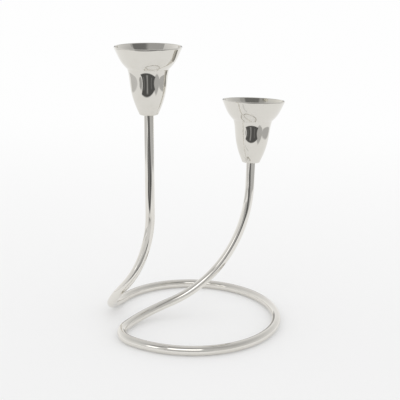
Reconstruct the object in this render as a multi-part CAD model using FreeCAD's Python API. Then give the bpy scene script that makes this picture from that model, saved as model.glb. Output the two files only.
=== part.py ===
import FreeCAD, Part
import math
import os

# A two-light candle holder: one round rod is bent into a ring that lies on the
# table, each of its ends rises out of the ring as a leg, and each leg carries
# a tulip cup. Lengths are millimetres. The front is -Y and up is +Z.

# Driving dimensions: the rod and the ring it is bent into
ROD_RADIUS = 3.5
RING_BACK_RADIUS = 64.4
RING_FRONT_RADIUS = 69.0
RING_BACK_TURN = 155.2
RING_FRONT_TURN = 125.2
TALL_STEM_LENGTH = 76.3
LOW_STEM_LENGTH = 18.2

# Driving dimensions: the cup, sized round a household candle
CANDLE_RADIUS = 11.0
CANDLE_CLEARANCE = 0.2
CUP_WALL = 1.2
CUP_FLOOR = 2.0
NECK_WALL = 2.8
RIM_RADIUS = 24.1
FOOT_RADIUS = 7.2
FOOT_CORNER = 1.1
HEEL_HEIGHT = 17.0
SOCKET_DEPTH = 13.0
NECK_HEIGHT = 28.4
FLARE_HEIGHT = 19.6

# Driving dimensions: the screw, its washer and the rod end they hold
SEAT_DEPTH = 1.0
SEAT_CLEARANCE = 0.05
THREAD_RADIUS = 2.0
THREAD_CLEARANCE = 0.02
SCREW_HOLE_CLEARANCE = 0.15
SCREW_LENGTH = 10.0
TAPPED_DEPTH = 9.0
HEAD_RADIUS = 3.5
HEAD_HEIGHT = 2.4
HEAD_ROUNDING = 0.4
SLOT_WIDTH = 1.1
SLOT_DEPTH = 1.0
WASHER_RADIUS = 4.5
WASHER_THICKNESS = 0.8
CUT_OVERRUN = 1.0

# The bends of each leg, from the ring upwards: the radius of the bend as a
# share of that half of the ring's, the angle turned, and the roll of the bend's
# plane. A roll of 0 turns towards the middle of the ring and 90 turns upwards,
# in a frame that the rod carries along. The angles are degrees.
TALL_LEG_BEND_SHARES = (
    (0.838, 25.9, 48.4),
    (0.454, 73.1, 50.4),
    (0.722, 28.6, 106.4),
    (1.124, 29.2, 192.0),
)
LOW_LEG_BEND_SHARES = (
    (0.308, 78.9, 0.9),
    (0.889, 44.2, 23.4),
    (1.206, 42.8, 91.0),
    (1.561, 30.7, 108.0),
)

# The handles of the curves that draw the cup, as shares of each stretch's
# growth in radius and of its height, from its low end. The barrel's stretch
# grows to BARREL_RADIUS, the flare's to the rim and the well's to the socket.
BARREL_HANDLE_SHARES = ((1.146, 0.464), (1.083, 0.710))
RIM_HANDLE_SHARES = (0.859, 0.400)
WELL_HANDLE_SHARES = ((0.391, 0.329), (0.913, 0.750))

# Single handles: past the neck, as a share of the one before it; above the
# socket's mouth, as a share of the flare; inside the rim, as a share of the
# one outside.
NECK_HANDLE_SHARE = 1.077
MOUTH_HANDLE_SHARE = 0.24
LINING_HANDLE_SHARE = 1.05

# Sizes worked out from the driving ones
SOCKET_RADIUS = CANDLE_RADIUS + CANDLE_CLEARANCE
BARREL_RADIUS = SOCKET_RADIUS + CUP_WALL
NECK_RADIUS = SOCKET_RADIUS + NECK_WALL
CUP_HEIGHT = NECK_HEIGHT + FLARE_HEIGHT
FLOOR_TOP = SEAT_DEPTH + CUP_FLOOR
SCREW_HOLE_RADIUS = THREAD_RADIUS + SCREW_HOLE_CLEARANCE
TAPPED_RADIUS = THREAD_RADIUS + THREAD_CLEARANCE
WASHER_TOP = FLOOR_TOP + WASHER_THICKNESS

ORIGIN = FreeCAD.Vector(0, 0, 0)
UP = FreeCAD.Vector(0, 0, 1)


class RodEnd:
    """The growing end of the rod, and the frame that the rod carries along."""

    def __init__(self, position, heading, inward):
        self.position = position
        self.heading = heading
        self.inward = inward
        self.upward = FreeCAD.Vector(UP)
        self.pieces = []

    def disc(self):
        """The rod's round section, square to its heading."""
        circle = Part.makeCircle(ROD_RADIUS, self.position, self.heading)
        return Part.Face(Part.Wire(circle))

    def bend(self, radius, turn, roll):
        """Bend the rod by turn degrees in the plane that roll gives."""
        lean = math.radians(roll)
        towards = self.inward * math.cos(lean) + self.upward * math.sin(lean)
        centre = self.position + towards * radius
        axis = self.heading.cross(towards)
        self.pieces.append(self.disc().revolve(centre, axis, turn))
        rotation = FreeCAD.Rotation(axis, turn)
        self.position = centre + rotation.multVec(self.position - centre)
        self.heading = rotation.multVec(self.heading)
        self.inward = rotation.multVec(self.inward)
        self.upward = rotation.multVec(self.upward)

    def straight(self, length):
        """Carry the rod straight on."""
        self.pieces.append(self.disc().extrude(self.heading * length))
        self.position = self.position + self.heading * length


def grow_leg(side, ring_radius, ring_turn, bends, stem_length):
    """Half of the ring, from its right-hand point, and the leg that follows.

    side is 1 for the half that runs round the back and -1 for the front."""
    start = FreeCAD.Vector(RING_BACK_RADIUS, 0, ROD_RADIUS)
    heading = FreeCAD.Vector(0, side, 0)
    end = RodEnd(start, heading, FreeCAD.Vector(-1, 0, 0))
    end.bend(ring_radius, ring_turn, 0)
    for radius_share, turn, roll in bends:
        end.bend(ring_radius * radius_share, turn, roll)
    end.straight(stem_length + SEAT_DEPTH)
    return end


def tapped_hole(end):
    """The blind hole for the screw, down the end of the rod."""
    mouth = end.position + end.heading * CUT_OVERRUN
    return Part.makeCylinder(
        TAPPED_RADIUS, TAPPED_DEPTH + CUT_OVERRUN, mouth, end.heading * -1)


def spiral_rod(tall_end, low_end):
    """The whole rod: both halves of the ring with their legs, in one piece."""
    pieces = tall_end.pieces + low_end.pieces
    rod = pieces[0].multiFuse(pieces[1:]).removeSplitter()
    for end in (tall_end, low_end):
        rod = rod.cut(tapped_hole(end))
    return rod


def between(low, high, shares):
    """The point that is the two shares of the way from low to high."""
    radius_share, height_share = shares
    return FreeCAD.Vector(
        low.x + (high.x - low.x) * radius_share, 0,
        low.z + (high.z - low.z) * height_share)


def curve(*poles):
    """The smooth curve that starts and ends at the outer poles."""
    line = Part.BezierCurve()
    line.setPoles(list(poles))
    return line.toShape()


def cup_outline():
    """Half of the cup's section, from its seat round the rim to its floor."""
    seat_radius = ROD_RADIUS + SEAT_CLEARANCE
    foot_flat = FreeCAD.Vector(FOOT_RADIUS - FOOT_CORNER, 0, 0)
    foot_side = FreeCAD.Vector(FOOT_RADIUS, 0, FOOT_CORNER)
    corner_mid = FreeCAD.Vector(
        FOOT_RADIUS - FOOT_CORNER * (1 - math.sqrt(0.5)), 0,
        FOOT_CORNER * (1 - math.sqrt(0.5)))
    barrel_top = FreeCAD.Vector(BARREL_RADIUS, 0, NECK_HEIGHT)
    neck = FreeCAD.Vector(NECK_RADIUS, 0, NECK_HEIGHT)
    rim = FreeCAD.Vector(RIM_RADIUS, 0, CUP_HEIGHT)
    barrel_handles = [
        between(foot_side, barrel_top, shares) for shares in BARREL_HANDLE_SHARES]
    neck_handle = neck + (neck - barrel_handles[-1]) * NECK_HANDLE_SHARE
    rim_handle = between(neck, rim, RIM_HANDLE_SHARES)
    rim_pull = rim - rim_handle
    rim_way = rim_pull * (1 / rim_pull.Length)
    rim_inner = rim + FreeCAD.Vector(-rim_way.z, 0, rim_way.x) * CUP_WALL
    lip_top = (rim + rim_inner) * 0.5 + rim_way * (CUP_WALL / 2)
    lining_handle = rim_inner - rim_pull * LINING_HANDLE_SHARE
    mouth = FreeCAD.Vector(SOCKET_RADIUS, 0, HEEL_HEIGHT + SOCKET_DEPTH)
    mouth_handle = mouth + UP * (FLARE_HEIGHT * MOUTH_HANDLE_SHARE)
    socket_foot = FreeCAD.Vector(SOCKET_RADIUS, 0, HEEL_HEIGHT)
    floor_edge = FreeCAD.Vector(FOOT_RADIUS - CUP_WALL / 2, 0, FLOOR_TOP)
    well_handles = [
        between(floor_edge, socket_foot, shares) for shares in WELL_HANDLE_SHARES]
    hole_top = FreeCAD.Vector(SCREW_HOLE_RADIUS, 0, FLOOR_TOP)
    hole_low = FreeCAD.Vector(SCREW_HOLE_RADIUS, 0, SEAT_DEPTH)
    seat_top = FreeCAD.Vector(seat_radius, 0, SEAT_DEPTH)
    seat_low = FreeCAD.Vector(seat_radius, 0, 0)
    edges = [
        Part.makeLine(seat_low, foot_flat),
        Part.Arc(foot_flat, corner_mid, foot_side).toShape(),
        curve(foot_side, *barrel_handles, neck),
        curve(neck, neck_handle, rim_handle, rim),
        Part.Arc(rim, lip_top, rim_inner).toShape(),
        curve(rim_inner, lining_handle, mouth_handle, mouth),
        Part.makeLine(mouth, socket_foot),
        curve(floor_edge, *well_handles, socket_foot),
        Part.makeLine(floor_edge, hole_top),
        Part.makeLine(hole_top, hole_low),
        Part.makeLine(hole_low, seat_top),
        Part.makeLine(seat_top, seat_low),
    ]
    return Part.Wire(edges)


def cup():
    """A cup on its own axis, with its foot at the origin."""
    return Part.Face(cup_outline()).revolve(ORIGIN, UP, 360)


def screw():
    """The slotted screw that holds a cup, in the cup's frame."""
    head = Part.makeCylinder(HEAD_RADIUS, HEAD_HEIGHT, UP * WASHER_TOP)
    top_edge = [
        edge for edge in head.Edges
        if edge.BoundBox.ZMin > WASHER_TOP + HEAD_HEIGHT / 2]
    head = head.makeFillet(HEAD_ROUNDING, top_edge)
    shank_foot = WASHER_TOP - SCREW_LENGTH
    shank = Part.makeCylinder(THREAD_RADIUS, SCREW_LENGTH, UP * shank_foot)
    slot_length = (HEAD_RADIUS + CUT_OVERRUN) * 2
    slot = Part.makeBox(
        slot_length, SLOT_WIDTH, SLOT_DEPTH + CUT_OVERRUN,
        FreeCAD.Vector(slot_length / -2, SLOT_WIDTH / -2,
                       WASHER_TOP + HEAD_HEIGHT - SLOT_DEPTH))
    return head.fuse(shank).removeSplitter().cut(slot)


def washer():
    """The plain washer under the screw's head, in the cup's frame."""
    disc = Part.makeCylinder(WASHER_RADIUS, WASHER_THICKNESS, UP * FLOOR_TOP)
    hole = Part.makeCylinder(
        SCREW_HOLE_RADIUS, WASHER_THICKNESS + CUT_OVERRUN * 2,
        UP * (FLOOR_TOP - CUT_OVERRUN))
    return disc.cut(hole)


def seated(shape, end):
    """The shape moved from the cup's frame to the end of a leg."""
    moved = shape.copy()
    foot = end.position - end.heading * SEAT_DEPTH
    moved.Placement = FreeCAD.Placement(foot, FreeCAD.Rotation(UP, end.heading))
    return moved


def footprint_centre(rod):
    """The point on the table under the middle of the rod's footprint."""
    box = rod.optimalBoundingBox(False, False)
    return FreeCAD.Vector(box.Center.x, box.Center.y, 0)


def build():
    """Every piece by its name, with the origin under the footprint's middle."""
    tall_end = grow_leg(1, RING_BACK_RADIUS, RING_BACK_TURN,
                        TALL_LEG_BEND_SHARES, TALL_STEM_LENGTH)
    low_end = grow_leg(-1, RING_FRONT_RADIUS, RING_FRONT_TURN,
                       LOW_LEG_BEND_SHARES, LOW_STEM_LENGTH)
    nodes = {"spiral_rod": spiral_rod(tall_end, low_end)}
    for name, end in (("tall", tall_end), ("low", low_end)):
        nodes[name + "_cup"] = seated(cup(), end)
        nodes[name + "_cup_screw"] = seated(screw(), end)
        nodes[name + "_cup_washer"] = seated(washer(), end)
    shift = footprint_centre(nodes["spiral_rod"]) * -1
    for shape in nodes.values():
        shape.translate(shift)
    return nodes


os.makedirs("parts", exist_ok=True)
for node_name, node_shape in build().items():
    node_shape.exportStep("parts/" + node_name + ".step")
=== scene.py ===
"""Looks of a two-light candle holder bent from one polished, silver-plated rod.

Everything is in metres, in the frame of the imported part: +Z is up, -Y is the
front, and the holder stands on the plane z = 0.
"""

import logging
import math
from dataclasses import dataclass, field
from enum import Enum

import bmesh
import bpy
from mathutils import Matrix, Vector
from mathutils.geometry import interpolate_bezier

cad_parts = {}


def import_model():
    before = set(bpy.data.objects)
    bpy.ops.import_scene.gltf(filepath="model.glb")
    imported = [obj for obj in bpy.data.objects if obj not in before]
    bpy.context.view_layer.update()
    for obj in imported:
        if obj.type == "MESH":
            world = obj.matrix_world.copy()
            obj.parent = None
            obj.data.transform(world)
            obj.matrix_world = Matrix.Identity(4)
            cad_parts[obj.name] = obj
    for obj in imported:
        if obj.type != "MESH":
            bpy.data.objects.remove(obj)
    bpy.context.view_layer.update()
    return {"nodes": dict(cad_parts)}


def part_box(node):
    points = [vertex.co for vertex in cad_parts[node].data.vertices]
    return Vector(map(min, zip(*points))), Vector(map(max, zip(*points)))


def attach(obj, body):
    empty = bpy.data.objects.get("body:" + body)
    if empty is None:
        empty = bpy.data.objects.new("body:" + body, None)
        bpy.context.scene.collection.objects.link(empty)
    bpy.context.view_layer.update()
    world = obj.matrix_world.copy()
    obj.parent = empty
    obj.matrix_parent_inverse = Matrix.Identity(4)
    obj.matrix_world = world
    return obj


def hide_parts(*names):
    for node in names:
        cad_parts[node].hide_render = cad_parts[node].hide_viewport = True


log = logging.getLogger("candle_holder")

Triple = tuple[float, float, float]
Pair = tuple[float, float]
Socket = bpy.types.NodeSocket
Value = float | Socket

MM = 0.001
UP = Vector((0.0, 0.0, 1.0))
RIGHT = Vector((1.0, 0.0, 0.0))
WHITE = (1.0, 1.0, 1.0, 1.0)
# Light crosses a cup's hollow many times before it leaves.
GLOSSY_BOUNCES = 10


class Half(Enum):
    """The half of the ring that a leg grows from; the value is its side."""

    BACK = 1
    FRONT = -1


class Slot(Enum):
    """The record's material slots."""

    ROD = "plated_rod"
    CUP = "plated_cup"
    SCREW = "screw_steel"
    WASHER = "washer_brass"


# Node helpers

@dataclass(frozen=True)
class Pattern:
    """A noise pattern: waves per metre, octaves, and how strong the fine ones are."""

    scale: float
    detail: float
    roughness: float
    turn: Triple = (0.0, 0.0, 0.0)
    stretch: Triple | None = None


class Nodes:
    """A short way to lay out one material's or world's node tree."""

    # The Mix node's colour sockets share their names with its other sockets.
    MIX_FIRST = 6
    MIX_SECOND = 7
    MIX_RESULT = 2

    def __init__(self, tree: bpy.types.NodeTree) -> None:
        """Start from an empty tree.

        Args:
            tree: The node tree to fill.
        """
        self.tree = tree
        tree.nodes.clear()

    def add(self, kind: str, **settings: object) -> bpy.types.Node:
        """Add a node and set its properties.

        Args:
            kind: The node's type name.
            **settings: Property names and values.

        Returns:
            The new node.
        """
        node = self.tree.nodes.new(kind)
        for name, value in settings.items():
            setattr(node, name, value)
        return node

    def put(self, socket: Socket, value: object) -> None:
        """Give an input a value, or link it to an output.

        Args:
            socket: The input.
            value: A value or an output socket.
        """
        if isinstance(value, Socket):
            self.tree.links.new(value, socket)
        else:
            socket.default_value = value

    def feed(self, node: bpy.types.Node, **inputs: object) -> bpy.types.Node:
        """Set or link a node's inputs by name.

        Args:
            node: The node whose inputs are set.
            **inputs: Socket names, with underscores for spaces, and a value or
                an output socket for each.

        Returns:
            The same node.
        """
        for name, value in inputs.items():
            self.put(node.inputs[name.replace("_", " ")], value)
        return node

    def where(self) -> Socket:
        """Where a point lies on the object."""
        return self.add("ShaderNodeTexCoord").outputs["Object"]

    def axes(self) -> bpy.types.NodeOutputs:
        """The same place, as the outputs X, Y and Z."""
        return self.feed(self.add("ShaderNodeSeparateXYZ"), Vector=self.where()).outputs

    def noise(self, where: Socket, pattern: Pattern) -> Socket:
        """Read a noise pattern.

        Args:
            where: Where it is read.
            pattern: The pattern.

        Returns:
            Its factor's socket.
        """
        if pattern.stretch is not None:
            mapping = self.feed(self.add("ShaderNodeMapping"), Vector=where,
                                Rotation=pattern.turn, Scale=pattern.stretch)
            where = mapping.outputs["Vector"]
        node = self.feed(self.add("ShaderNodeTexNoise"), Vector=where,
                         Scale=pattern.scale, Detail=pattern.detail,
                         Roughness=pattern.roughness)
        return node.outputs[0]

    def math(self, operation: str, first: Value, second: Value = 0.0,
             clamp: bool = False) -> Socket:
        """One sum on two values or sockets.

        Args:
            operation: The Math node's operation.
            first: Its first value or socket.
            second: Its second value or socket.
            clamp: Whether the result is kept between 0 and 1.

        Returns:
            The result's socket.
        """
        node = self.add("ShaderNodeMath", operation=operation, use_clamp=clamp)
        self.put(node.inputs[0], first)
        self.put(node.inputs[1], second)
        return node.outputs[0]

    def ramp(self, value: Socket, span: Pair, result: Pair) -> Socket:
        """Map a value smoothly from one range to another.

        Args:
            value: The value read.
            span: Where the input range starts and ends.
            result: The results at those two ends.

        Returns:
            The result's socket.
        """
        node = self.add("ShaderNodeMapRange", interpolation_type="SMOOTHSTEP")
        self.feed(node, Value=value, From_Min=span[0], From_Max=span[1],
                  To_Min=result[0], To_Max=result[1])
        return node.outputs["Result"]

    def blend(self, factor: Socket, first: Triple, second: Triple) -> Socket:
        """Mix two colours.

        Args:
            factor: How much of the second there is.
            first: One colour.
            second: The other colour.

        Returns:
            The colour's socket.
        """
        node = self.add("ShaderNodeMix", data_type="RGBA")
        self.feed(node, Factor=factor)
        self.put(node.inputs[self.MIX_FIRST], (*first, 1.0))
        self.put(node.inputs[self.MIX_SECOND], (*second, 1.0))
        return node.outputs[self.MIX_RESULT]

    def glow(self, strength: Value) -> Socket:
        """Add a white glow.

        Args:
            strength: How strong it is.

        Returns:
            The shader's socket.
        """
        node = self.feed(self.add("ShaderNodeEmission"), Color=WHITE, Strength=strength)
        return node.outputs["Emission"]

    def metal(self, colour: Socket, roughness: Socket, marks: Socket,
              strength: float, depth: float) -> None:
        """Finish a material as bare metal with fine marks in its surface.

        Args:
            colour: The metal's colour.
            roughness: Its roughness.
            marks: The height of the marks.
            strength: How strongly the marks show.
            depth: How deep they are.
        """
        bump = self.feed(self.add("ShaderNodeBump"), Strength=strength,
                         Distance=depth, Height=marks)
        shader = self.feed(self.add("ShaderNodeBsdfPrincipled"), Base_Color=colour,
                           Metallic=1.0, Roughness=roughness,
                           Normal=bump.outputs["Normal"])
        self.surface(shader.outputs["BSDF"])

    def surface(self, shader: Socket) -> None:
        """Make a shader the material's surface."""
        self.feed(self.add("ShaderNodeOutputMaterial"), Surface=shader)


def new_material(name: str) -> tuple[bpy.types.Material, Nodes]:
    """Make an empty node material.

    Args:
        name: The material's name.

    Returns:
        The material, and its node layout.
    """
    material = bpy.data.materials.new(name)
    material.use_nodes = True
    return material, Nodes(material.node_tree)


# Finishes

@dataclass(frozen=True)
class PolishedPlate:
    """Polished silver plate, with fine rubbing marks and faint tarnish."""

    slot: Slot
    colour: Triple
    tarnish: Triple = (0.68, 0.645, 0.58)
    tarnish_amount: float = 0.35
    clouds: Pattern = Pattern(38.0, 4.0, 0.6)
    cloud_span: Pair = (0.48, 0.78)
    smudges: Pattern = Pattern(95.0, 3.0, 0.55)
    smudge_span: Pair = (0.35, 0.75)
    roughness: Pair = (0.02, 0.06)
    lengthwise: Pattern = Pattern(900.0, 3.0, 0.6, (0.3, 0.2, 0.4), (1.0, 1.0, 9.0))
    crosswise: Pattern = Pattern(700.0, 3.0, 0.6, (1.1, 0.7, 0.1), (9.0, 1.0, 1.0))
    scratch_strength: float = 0.03
    scratch_depth: float = 0.04 * MM

    def material(self) -> bpy.types.Material:
        """Build the material.

        Returns:
            The material.
        """
        material, nodes = new_material(self.slot.value)
        where = nodes.where()
        clouds = nodes.noise(where, self.clouds)
        cloud_mask = nodes.ramp(clouds, self.cloud_span, (0.0, self.tarnish_amount))
        colour = nodes.blend(cloud_mask, self.colour, self.tarnish)
        smudges = nodes.noise(where, self.smudges)
        roughness = nodes.ramp(smudges, self.smudge_span, self.roughness)
        scratches = nodes.math("ADD", nodes.noise(where, self.lengthwise),
                               nodes.noise(where, self.crosswise))
        nodes.metal(colour, roughness, scratches,
                    self.scratch_strength, self.scratch_depth)
        return material


@dataclass(frozen=True)
class PlainMetal:
    """A plain turned metal part with faint turning marks."""

    slot: Slot
    colour: Triple
    dull: Triple
    roughness: Pair
    patches: Pattern = Pattern(420.0, 4.0, 0.6)
    patch_span: Pair = (0.4, 0.7)
    grain: Pattern = Pattern(2600.0, 3.0, 0.6)
    grain_span: Pair = (0.3, 0.7)
    grain_strength: float = 0.2
    grain_depth: float = 0.03 * MM

    def material(self) -> bpy.types.Material:
        """Build the material.

        Returns:
            The material.
        """
        material, nodes = new_material(self.slot.value)
        where = nodes.where()
        patches = nodes.noise(where, self.patches)
        patch_mask = nodes.ramp(patches, self.patch_span, (0.0, 1.0))
        colour = nodes.blend(patch_mask, self.colour, self.dull)
        grain = nodes.noise(where, self.grain)
        roughness = nodes.ramp(grain, self.grain_span, self.roughness)
        nodes.metal(colour, roughness, grain, self.grain_strength, self.grain_depth)
        return material


ROD_PLATE = PolishedPlate(Slot.ROD, (0.82, 0.798, 0.75))
# The cups wear a darker copy of the rod's plate. Its lower colour is painted shade, and
# its heavier, darker tarnish is partly painted shade and partly tarnish in random
# clouds.
SHADED_CUP_PLATE = PolishedPlate(Slot.CUP, (0.75, 0.729, 0.68),
                          tarnish=(0.62, 0.60, 0.52), tarnish_amount=0.5)
STEEL = PlainMetal(Slot.SCREW, (0.56, 0.55, 0.53), (0.44, 0.42, 0.39), (0.24, 0.38))
BRASS = PlainMetal(Slot.WASHER, (0.70, 0.55, 0.28), (0.50, 0.37, 0.18), (0.28, 0.42))


# Mesh helpers

def new_object(bm: bmesh.types.BMesh, name: str, material: bpy.types.Material,
               smooth: bool = False) -> bpy.types.Object:
    """Turn a bmesh into an object in the scene.

    Args:
        bm: The finished shape. It is freed.
        name: The object's name.
        material: Its material.
        smooth: Whether its faces are shaded smooth.

    Returns:
        The object.
    """
    for face in bm.faces:
        face.smooth = smooth
    mesh = bpy.data.meshes.new(name)
    bm.to_mesh(mesh)
    bm.free()
    mesh.materials.append(material)
    made = bpy.data.objects.new(name, mesh)
    bpy.context.scene.collection.objects.link(made)
    return made


def finish_piece(bm: bmesh.types.BMesh, name: str, material: bpy.types.Material,
                 replaced: str) -> None:
    """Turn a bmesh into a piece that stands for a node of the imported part.

    Args:
        bm: The finished shape, in the part's frame. It is freed.
        name: The piece's name.
        material: Its material.
        replaced: The node it stands for.
    """
    bmesh.ops.recalc_face_normals(bm, faces=bm.faces)
    piece = new_object(bm, name, material, smooth=True)
    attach(piece, "root")
    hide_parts(replaced)
    log.info("%s: %d vertices, stands for %s", name, len(piece.data.vertices), replaced)


# The rod

@dataclass(frozen=True)
class Bend:
    """One bend of a leg.

    The radius is a share of the leg's half ring's. The turn, and the roll of
    the bend's plane, are in degrees.
    """

    radius_share: float
    turn: float
    roll: float


@dataclass(frozen=True)
class LegPlan:
    """A half of the ring and the leg that follows it."""

    half: Half
    ring_radius: float
    ring_turn: float
    bends: tuple[Bend, ...]
    stem_length: float


TALL_LEG = LegPlan(
    Half.BACK, 64.4 * MM, 155.2,
    (Bend(0.838, 25.9, 48.4), Bend(0.454, 73.1, 50.4),
     Bend(0.722, 28.6, 106.4), Bend(1.124, 29.2, 192.0)),
    76.3 * MM)
LOW_LEG = LegPlan(
    Half.FRONT, 69.0 * MM, 125.2,
    (Bend(0.308, 78.9, 0.9), Bend(0.889, 44.2, 23.4),
     Bend(1.206, 42.8, 91.0), Bend(1.561, 30.7, 108.0)),
    18.2 * MM)


@dataclass
class RodTip:
    """The growing end of the rod, and the frame that the rod carries along."""

    bm: bmesh.types.BMesh
    position: Vector
    heading: Vector
    inward: Vector
    upward: Vector
    edges: list[bmesh.types.BMEdge]
    step: float
    fewest_in_bend: int = 4
    fewest_in_straight: int = 2

    def bend(self, radius: float, turn: float, roll: float) -> None:
        """Bend the rod on.

        Args:
            radius: The bend's radius at the rod's centre line.
            turn: The angle turned, in degrees.
            roll: The roll of the bend's plane, in degrees.
        """
        lean = math.radians(roll)
        towards = self.inward * math.cos(lean) + self.upward * math.sin(lean)
        centre = self.position + towards * radius
        axis = self.heading.cross(towards).normalized()
        angle = math.radians(turn)
        steps = max(self.fewest_in_bend, round(radius * angle / self.step))
        spun = bmesh.ops.spin(
            self.bm, geom=self.edges, cent=centre, axis=axis, angle=angle,
            steps=steps, use_merge=False, use_duplicate=False)
        self.edges = [g for g in spun["geom_last"] if isinstance(g, bmesh.types.BMEdge)]
        rotation = Matrix.Rotation(angle, 3, axis)
        self.position = centre + rotation @ (self.position - centre)
        self.heading = rotation @ self.heading
        self.inward = rotation @ self.inward
        self.upward = rotation @ self.upward

    def extrude(self) -> list[bmesh.types.BMVert]:
        """Extrude the open end in place.

        Returns:
            The new end's vertices.
        """
        grown = bmesh.ops.extrude_edge_only(self.bm, edges=self.edges)["geom"]
        verts = {g for g in grown if isinstance(g, bmesh.types.BMVert)}
        self.edges = [g for g in grown if isinstance(g, bmesh.types.BMEdge)
                      and verts.issuperset(g.verts)]
        return list(verts)

    def straight(self, length: float) -> None:
        """Carry the rod straight on.

        Args:
            length: How far.
        """
        steps = max(self.fewest_in_straight, round(length / self.step))
        for _ in range(steps):
            bmesh.ops.translate(
                self.bm, verts=self.extrude(), vec=self.heading * (length / steps))
        self.position = self.position + self.heading * length

    def close(self, hole_radius: float, hole_depth: float, rod_radius: float) -> None:
        """Close the end with a flat ring round the tapped hole, and the hole.

        Args:
            hole_radius: The hole's radius.
            hole_depth: How deep it goes.
            rod_radius: The rod's radius.
        """
        for scale, drop in ((hole_radius / rod_radius, 0.0), (1.0, hole_depth)):
            verts = self.extrude()
            for vert in verts:
                vert.co = self.position + (vert.co - self.position) * scale
            bmesh.ops.translate(self.bm, verts=verts, vec=self.heading * -drop)
        bmesh.ops.contextual_create(self.bm, geom=self.edges)


@dataclass
class SpiralRod:
    """The rod: the ring on the table and both legs, in one piece."""

    radius: float = 3.5 * MM
    ring_radius: float = 64.4 * MM
    seat_depth: float = 1.0 * MM
    hole_radius: float = 2.02 * MM
    hole_depth: float = 9.0 * MM
    sides: int = 56
    step: float = 1.3 * MM
    weld: float = 0.001 * MM
    tips: dict[str, RodTip] = field(default_factory=dict)

    def grow(self, bm: bmesh.types.BMesh, plan: LegPlan) -> RodTip:
        """Grow half of the ring and its leg.

        Args:
            bm: The mesh it grows in.
            plan: The leg's sizes.

        Returns:
            The end of the leg.
        """
        start = Vector((self.ring_radius, 0.0, self.radius))
        heading = Vector((0.0, float(plan.half.value), 0.0))
        turned = Matrix.Translation(start) @ Matrix.Rotation(math.pi / 2, 4, "X")
        circle = bmesh.ops.create_circle(
            bm, cap_ends=False, segments=self.sides, radius=self.radius, matrix=turned)
        edges = list({e for v in circle["verts"] for e in v.link_edges})
        tip = RodTip(bm, start, heading, -RIGHT, UP.copy(), edges, self.step)
        tip.bend(plan.ring_radius, plan.ring_turn, 0.0)
        for bend in plan.bends:
            tip.bend(plan.ring_radius * bend.radius_share, bend.turn, bend.roll)
        tip.straight(plan.stem_length + self.seat_depth)
        return tip

    def build(self) -> None:
        """Build the rod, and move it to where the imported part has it."""
        low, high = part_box("spiral_rod")
        bm = bmesh.new()
        self.tips = {"tall": self.grow(bm, TALL_LEG), "low": self.grow(bm, LOW_LEG)}
        made_low = Vector([min(v.co[i] for v in bm.verts) for i in range(3)])
        made_high = Vector([max(v.co[i] for v in bm.verts) for i in range(3)])
        shift = (low + high - made_low - made_high) / 2
        shift.z = 0.0
        for tip in self.tips.values():
            tip.close(self.hole_radius, self.hole_depth, self.radius)
            tip.position = tip.position + shift
        bmesh.ops.translate(bm, verts=bm.verts, vec=shift)
        bmesh.ops.remove_doubles(bm, verts=bm.verts, dist=self.weld)
        finish_piece(bm, "bent_rod", ROD_PLATE.material(), "spiral_rod")


# The cups

def at(radius: float, height: float) -> Vector:
    """A point of a turned section."""
    return Vector((radius, 0.0, height))


def part_way(low: Vector, high: Vector, share: Pair) -> Vector:
    """The point a share of the way in radius and in height.

    Args:
        low: Where the stretch starts.
        high: Where it ends.
        share: The share in radius and the share in height.

    Returns:
        The point.
    """
    return at(low.x + (high.x - low.x) * share[0], low.z + (high.z - low.z) * share[1])


def arc(centre: Vector, radius: float, start: Vector, end: Vector,
        steps: int) -> list[Vector]:
    """Points on an arc about a centre, from the side of one point to another's.

    Args:
        centre: The arc's centre.
        radius: Its radius.
        start: A point on the line to its start.
        end: A point on the line to its end.
        steps: How many short lines it has.

    Returns:
        The arc's points.
    """
    first, last = (start - centre).normalized(), (end - centre).normalized()
    return [centre + first.slerp(last, i / steps) * radius for i in range(steps + 1)]


def bow(start: Vector, handle: Vector, end: Vector, steps: int) -> list[Vector]:
    """Points on a curve with one handle.

    Args:
        start: Where the curve starts.
        handle: Where its end tangents meet.
        end: Where it ends.
        steps: How many points it has.

    Returns:
        The curve's points.
    """
    reach = 2 / 3
    return interpolate_bezier(
        start, start.lerp(handle, reach), end.lerp(handle, reach), end, steps)


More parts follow.
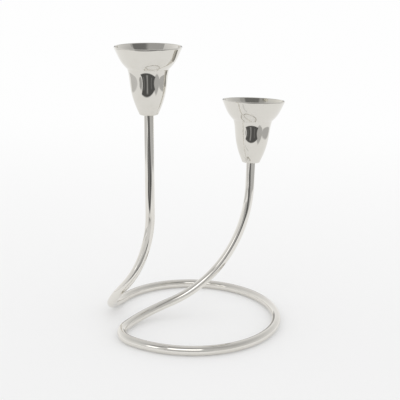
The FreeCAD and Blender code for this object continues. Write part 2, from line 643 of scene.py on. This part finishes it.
@dataclass
class TulipCup:
    """A tulip cup with its candle socket, seated on the end of a leg."""

    finish: bpy.types.Material
    side: str
    seat: Vector
    up: Vector
    rod_radius: float = 3.5 * MM
    socket_radius: float = 11.2 * MM
    wall: float = 1.2 * MM
    floor: float = 2.0 * MM
    neck_wall: float = 2.8 * MM
    rim_radius: float = 24.1 * MM
    foot_radius: float = 7.2 * MM
    foot_corner: float = 1.1 * MM
    heel_height: float = 17.0 * MM
    socket_depth: float = 13.0 * MM
    neck_height: float = 28.4 * MM
    flare_height: float = 19.6 * MM
    seat_depth: float = 1.0 * MM
    seat_clearance: float = 0.05 * MM
    hole_radius: float = 2.15 * MM
    barrel_shares: tuple[Pair, Pair] = ((1.146, 0.464), (1.083, 0.710))
    well_shares: tuple[Pair, Pair] = ((0.391, 0.329), (0.913, 0.750))
    neck_pull: float = 0.3
    crease_radius: float = 15.1 * MM
    crease_height: float = 33.0 * MM
    crease_slope: float = 1.1
    crease_pull: float = 6.5 * MM
    lip_radius: float = 23.8 * MM
    lip_height: float = 47.1 * MM
    lip_slope: float = 0.45
    lip_pull: float = 7.0 * MM
    lip_turn: float = 0.5 * MM
    mouth_pull: float = 0.24
    lining_drop: Pair = (2.2 * MM, 11.0 * MM)
    corner_steps: int = 8
    barrel_steps: int = 44
    neck_steps: int = 12
    flare_steps: int = 40
    lip_steps: int = 10
    rim_steps: int = 6
    lining_steps: int = 36
    well_steps: int = 16
    steps_round: int = 192
    weld: float = 0.0001 * MM

    def outside(self, rim: Vector) -> list[list[Vector]]:
        """The outer side of the section, from the seat up to the rim.

        Args:
            rim: The rim's outer point.

        Returns:
            The points of each stretch.
        """
        seat_side = self.rod_radius + self.seat_clearance
        corner = at(self.foot_radius - self.foot_corner, self.foot_corner)
        foot_flat = corner - UP * self.foot_corner
        foot_side = at(self.foot_radius, self.foot_corner)
        barrel_top = at(self.socket_radius + self.wall, self.neck_height)
        neck = at(self.socket_radius + self.neck_wall, self.neck_height)
        low_handle, high_handle = (
            part_way(foot_side, barrel_top, share) for share in self.barrel_shares)
        neck_handle = neck + (neck - high_handle) * self.neck_pull
        crease = at(self.crease_radius, self.crease_height)
        lip = at(self.lip_radius, self.lip_height)
        off_crease = at(self.crease_slope, 1.0).normalized()
        into_lip = at(self.lip_slope, 1.0).normalized()
        return [
            [at(seat_side, self.seat_depth), at(seat_side, 0.0)],
            arc(corner, self.foot_corner, foot_flat, foot_side, self.corner_steps),
            interpolate_bezier(foot_side, low_handle, high_handle, neck,
                               self.barrel_steps),
            bow(neck, neck_handle, crease, self.neck_steps),
            interpolate_bezier(crease, crease + off_crease * self.crease_pull,
                               lip - into_lip * self.lip_pull, lip, self.flare_steps),
            bow(lip, lip + into_lip * self.lip_turn, rim, self.lip_steps),
        ]

    def inside(self, rim: Vector) -> list[list[Vector]]:
        """The inner side of the section, from the rim down to the floor's hole.

        Args:
            rim: The rim's inner point.

        Returns:
            The points of each stretch.
        """
        floor_top = self.seat_depth + self.floor
        lining = rim - at(*self.lining_drop)
        mouth = at(self.socket_radius, self.heel_height + self.socket_depth)
        mouth_handle = mouth + UP * (self.flare_height * self.mouth_pull)
        socket_foot = at(self.socket_radius, self.heel_height)
        floor_edge = at(self.foot_radius - self.wall / 2, floor_top)
        low_handle, high_handle = (
            part_way(floor_edge, socket_foot, share) for share in self.well_shares)
        return [
            interpolate_bezier(rim, lining, mouth_handle, mouth, self.lining_steps),
            [mouth, (mouth + socket_foot) / 2, socket_foot],
            interpolate_bezier(socket_foot, high_handle, low_handle, floor_edge,
                               self.well_steps),
            [at(self.hole_radius, floor_top), at(self.hole_radius, self.seat_depth)],
        ]

    def outline(self) -> list[Vector]:
        """Half of the cup's section, from its seat round the rim to its floor.

        Returns:
            The outline's points, in the cup's own frame.
        """
        rim = at(self.rim_radius, self.neck_height + self.flare_height)
        rim_inner = rim - at(self.wall, 0.0)
        rim_centre = (rim + rim_inner) / 2
        rim_top = rim_centre + UP * (self.wall / 2)
        stretches = [
            *self.outside(rim),
            arc(rim_centre, self.wall / 2, rim, rim_top, self.rim_steps),
            arc(rim_centre, self.wall / 2, rim_top, rim_inner, self.rim_steps),
            *self.inside(rim_inner),
        ]
        line: list[Vector] = []
        for point in (p for stretch in stretches for p in stretch):
            if not line or (point - line[-1]).length > self.weld:
                line.append(point)
        return line

    def build(self) -> None:
        """Turn the section into the cup, and seat it on its leg."""
        bm = bmesh.new()
        verts = [bm.verts.new(point) for point in self.outline()]
        edges = [bm.edges.new(pair) for pair in zip(verts, verts[1:] + verts[:1])]
        bmesh.ops.spin(bm, geom=verts + edges, cent=Vector(), axis=UP,
                       angle=2 * math.pi, steps=self.steps_round, use_merge=True)
        bmesh.ops.remove_doubles(bm, verts=bm.verts, dist=self.weld)
        place = Matrix.Translation(self.seat - self.up * self.seat_depth)
        turn = UP.rotation_difference(self.up).to_matrix().to_4x4()
        bmesh.ops.transform(bm, matrix=place @ turn, verts=bm.verts)
        finish_piece(bm, f"{self.side}_tulip_cup", self.finish,
                     f"{self.side}_cup")


# The fastenings

@dataclass
class Fastenings:
    """The screws and washers that hold the cups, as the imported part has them."""

    nodes: dict[str, bpy.types.Object]

    def dress(self) -> None:
        """Give each screw and washer its material."""
        for ending, metal in (("_screw", STEEL), ("_washer", BRASS)):
            material = metal.material()
            for name, node in self.nodes.items():
                if name.endswith(ending):
                    node.data.materials.clear()
                    node.data.materials.append(material)
                    log.info("%s: dressed", name)


# The stage

FLAT = (0.0, 0.0, 1.0)
FACING_BACK = (0.0, 1.0, 0.0)
FACING_FRONT = (0.0, -1.0, 0.0)


def only_in_reflections(thing: bpy.types.Object) -> None:
    """Let a piece of the stage show in the metal and nowhere else.

    Args:
        thing: The card, soft box or room.
    """
    thing.visible_camera = False
    thing.visible_diffuse = False
    thing.visible_transmission = False
    thing.visible_volume_scatter = False
    thing.visible_shadow = False


@dataclass(frozen=True)
class Card:
    """A card or soft box beside the set, which only the polished metal shows.

    The softness is the width of its faded edge, and the turn about its normal
    is in degrees.
    """

    name: str
    centre: Triple
    normal: Triple
    width: float
    height: float
    shade: float
    softness: float
    turn: float = 0.0

    def material(self) -> bpy.types.Material:
        """Build an even glow that fades out towards the card's edges.

        Returns:
            The material.
        """
        material, nodes = new_material(self.name)
        axes = nodes.axes()
        fades = [
            nodes.ramp(nodes.math("ABSOLUTE", axes[axis]),
                       (size / 2 - self.softness, size / 2), (1.0, 0.0))
            for axis, size in (("X", self.width), ("Y", self.height))]
        mix = nodes.add("ShaderNodeMixShader")
        nodes.put(mix.inputs[0], nodes.math("MULTIPLY", *fades))
        nodes.put(mix.inputs[1], nodes.add("ShaderNodeBsdfTransparent").outputs[0])
        nodes.put(mix.inputs[2], nodes.glow(self.shade))
        nodes.surface(mix.outputs[0])
        return material

    def build(self) -> None:
        """Build the card."""
        normal = Vector(self.normal).normalized()
        across = RIGHT if self.normal == FLAT else UP.cross(normal).normalized()
        basis = Matrix((across, normal.cross(across), normal)).transposed()
        turned = Matrix.Rotation(math.radians(self.turn), 4, "Z")
        # A square of one metre, stretched to the card's width and height
        bm = bmesh.new()
        bmesh.ops.create_grid(bm, x_segments=1, y_segments=1, size=0.5)
        bmesh.ops.scale(bm, vec=(self.width, self.height, 1.0), verts=bm.verts)
        card = new_object(bm, self.name, self.material())
        card.matrix_world = Matrix.Translation(self.centre) @ basis.to_4x4() @ turned
        only_in_reflections(card)


CARDS = (
    # The dark table in front, with paler strips on it, and the grey table beside
    Card("dark_table", (-0.015, -0.465, 0.0012), FLAT, 0.56, 0.44, 0.10, 0.03, -8.0),
    Card("dark_table_far", (-0.12, -0.95, 0.0010), FLAT, 0.72, 0.80, 0.12, 0.05),
    Card("pale_strip", (-0.055, -0.80, 0.0016), FLAT, 0.10, 1.04, 0.36, 0.05),
    Card("thin_strip", (0.13, -0.84, 0.0015), FLAT, 0.05, 0.96, 0.22, 0.025),
    Card("left_strip", (-0.20, -0.82, 0.0015), FLAT, 0.05, 1.00, 0.22, 0.025),
    Card("grey_table_left", (-0.35, -0.37, 0.0008), FLAT, 0.14, 0.22, 0.42, 0.03),
    Card("grey_table_right", (0.98, -0.76, 0.0006), FLAT, 1.56, 1.22, 0.51, 0.05),
    Card("grey_table_side", (1.10, 0.00, 0.0004), FLAT, 1.30, 1.10, 0.51, 0.05),
    # The walls behind the camera
    Card("low_wall", (0.05, -1.37, 0.19), FACING_BACK, 1.50, 0.42, 0.38, 0.06),
    Card("side_wall", (0.0, -1.40, 0.084), FACING_BACK, 4.00, 0.20, 0.50, 0.03),
    # What the insides of the rims show
    Card("tall_mouth_flag", (-0.045, -0.13, 0.315), FACING_BACK, 0.18, 0.17, 0.16, 0.02),
    Card("tall_mouth_grey", (-0.03, -0.14, 0.305), FACING_BACK, 0.50, 0.17, 0.42, 0.02),
    Card("low_mouth_flag", (0.052, -0.09, 0.270), FACING_BACK, 0.19, 0.17, 0.19, 0.03),
    Card("low_mouth_grey", (0.05, -0.10, 0.260), FACING_BACK, 0.42, 0.17, 0.42, 0.02),
    # What the stems, the legs and the ring show
    Card("back_panel", (-0.10, 1.60, 0.27), FACING_FRONT, 0.90, 0.54, 0.34, 0.08),
    Card("grey_table_far_left", (-1.02, 0.0, 0.0005), FLAT, 1.10, 1.00, 0.64, 0.05),
    Card("leg_card", (-0.04, -0.05, 0.066), FACING_BACK, 0.07, 0.014, 0.72, 0.003),
    Card("side_light", (-0.667, -0.741, 0.51), (0.667, 0.741, -0.46),
         0.31, 0.50, 1.5, 0.05),
    Card("soft_box", (-0.04, -0.72, 0.70), (0.04, 0.65, -0.70), 0.66, 0.40, 1.8, 0.06),
    Card("soft_box_flag", (-0.43, -0.40, 0.74), (0.43, 0.40, -0.74),
         0.18, 0.42, 0.28, 0.02),
)


@dataclass
class Studio:
    """A pale sweep, a white surround, and the cards and room that the metal shows."""

    floor_size: float = 60.0
    floor_shade: Pair = (0.72, 0.81)
    floor_fade: Pair = (-0.30, 1.00)
    floor_glow: float = 0.18
    room_radius: float = 3.0
    room_segments: tuple[int, int] = (48, 24)
    room_shade: float = 0.78
    room_back: float = 0.20
    room_top: float = -0.30
    room_right: float = -0.16

    def floor(self) -> None:
        """Lay the floor: pale in front of the holder and paler behind it, a fall of
        light painted into the paper.
        """
        material, nodes = new_material("pale_paper")
        # Painted light: the paper's colour ramps from darker in front to paler behind
        # the holder.
        shade = nodes.ramp(nodes.axes()["Y"], self.floor_fade, self.floor_shade)
        colour = nodes.feed(nodes.add("ShaderNodeCombineColor"),
                            Red=shade, Green=shade, Blue=shade)
        paper = nodes.feed(nodes.add("ShaderNodeBsdfDiffuse"),
                           Color=colour.outputs["Color"])
        rays = nodes.add("ShaderNodeLightPath").outputs
        seen = nodes.math("ADD", rays["Is Camera Ray"], rays["Is Glossy Ray"])
        seen = nodes.math("ADD", seen, rays["Is Transmission Ray"], clamp=True)
        glow = nodes.glow(nodes.math("MULTIPLY", seen, self.floor_glow))
        both = nodes.add("ShaderNodeAddShader")
        nodes.put(both.inputs[0], paper.outputs["BSDF"])
        nodes.put(both.inputs[1], glow)
        nodes.surface(both.outputs["Shader"])
        bm = bmesh.new()
        bmesh.ops.create_grid(bm, x_segments=1, y_segments=1, size=self.floor_size)
        new_object(bm, "studio_floor", material)

    def room(self) -> None:
        """Hang the pale room: brightest behind, duller overhead and on the right."""
        material, nodes = new_material("pale_room")
        axes = nodes.axes()
        shade = nodes.ramp(axes["Y"], (-self.room_radius, self.room_radius),
                           (self.room_shade, self.room_shade + self.room_back))
        for axis, gain in (("Z", self.room_top), ("X", self.room_right)):
            part = nodes.ramp(axes[axis], (0.0, self.room_radius), (0.0, gain))
            shade = nodes.math("ADD", shade, part)
        nodes.surface(nodes.glow(shade))
        round_it, up_it = self.room_segments
        bm = bmesh.new()
        bmesh.ops.create_uvsphere(
            bm, u_segments=round_it, v_segments=up_it, radius=self.room_radius)
        room = new_object(bm, "pale_room", material, smooth=True)
        only_in_reflections(room)

    def world(self) -> None:
        """Set the white surround."""
        world = bpy.data.worlds.new("white_surround")
        world.use_nodes = True
        nodes = Nodes(world.node_tree)
        background = nodes.feed(nodes.add("ShaderNodeBackground"),
                                Color=WHITE, Strength=1.0)
        nodes.feed(nodes.add("ShaderNodeOutputWorld"),
                   Surface=background.outputs["Background"])
        bpy.context.scene.world = world

    def build(self) -> None:
        """Build the whole stage."""
        self.floor()
        self.room()
        for card in CARDS:
            card.build()
        self.world()
        log.info("studio: floor, room, surround and %d cards", len(CARDS))


@dataclass(frozen=True)
class PhotoCamera:
    """The camera at the photograph's viewing angle.

    The focal length is a share of the picture's width, the pitch is the view's
    tilt down and the roll its lean, in degrees.
    """

    place: Triple = (0.0020, -0.5849, 0.2520)
    pitch: float = 14.897
    roll: float = 1.830
    focal_share: float = 797.81 / 400.0
    sensor: float = 36.0
    clip: Pair = (0.01, 100.0)

    def build(self) -> None:
        """Make the camera and make it the scene's."""
        data = bpy.data.cameras.new("photo_camera")
        data.sensor_width = self.sensor
        data.lens = self.sensor * self.focal_share
        data.clip_start, data.clip_end = self.clip
        camera = bpy.data.objects.new("photo_camera", data)
        lean, turn = math.radians(self.pitch), math.radians(self.roll)
        forward = Vector((0.0, math.cos(lean), -math.sin(lean)))
        up = RIGHT.cross(forward)
        rolled_right = RIGHT * math.cos(turn) + up * math.sin(turn)
        rolled_up = up * math.cos(turn) - RIGHT * math.sin(turn)
        basis = Matrix((rolled_right, rolled_up, -forward)).transposed()
        camera.matrix_world = Matrix.Translation(self.place) @ basis.to_4x4()
        bpy.context.scene.collection.objects.link(camera)
        bpy.context.scene.camera = camera


def main() -> None:
    """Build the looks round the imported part, piece by piece."""
    logging.basicConfig(level=logging.INFO, format="%(message)s")
    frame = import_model()
    bpy.context.scene.view_settings.view_transform = "Standard"
    bpy.context.scene.cycles.glossy_bounces = GLOSSY_BOUNCES

    rod = SpiralRod()
    rod.build()
    plate = SHADED_CUP_PLATE.material()
    for side, tip in rod.tips.items():
        TulipCup(plate, side, tip.position, tip.heading).build()
    Fastenings(frame["nodes"]).dress()

    Studio().build()
    PhotoCamera().build()
    bpy.context.view_layer.update()


if __name__ == "__main__":
    main()
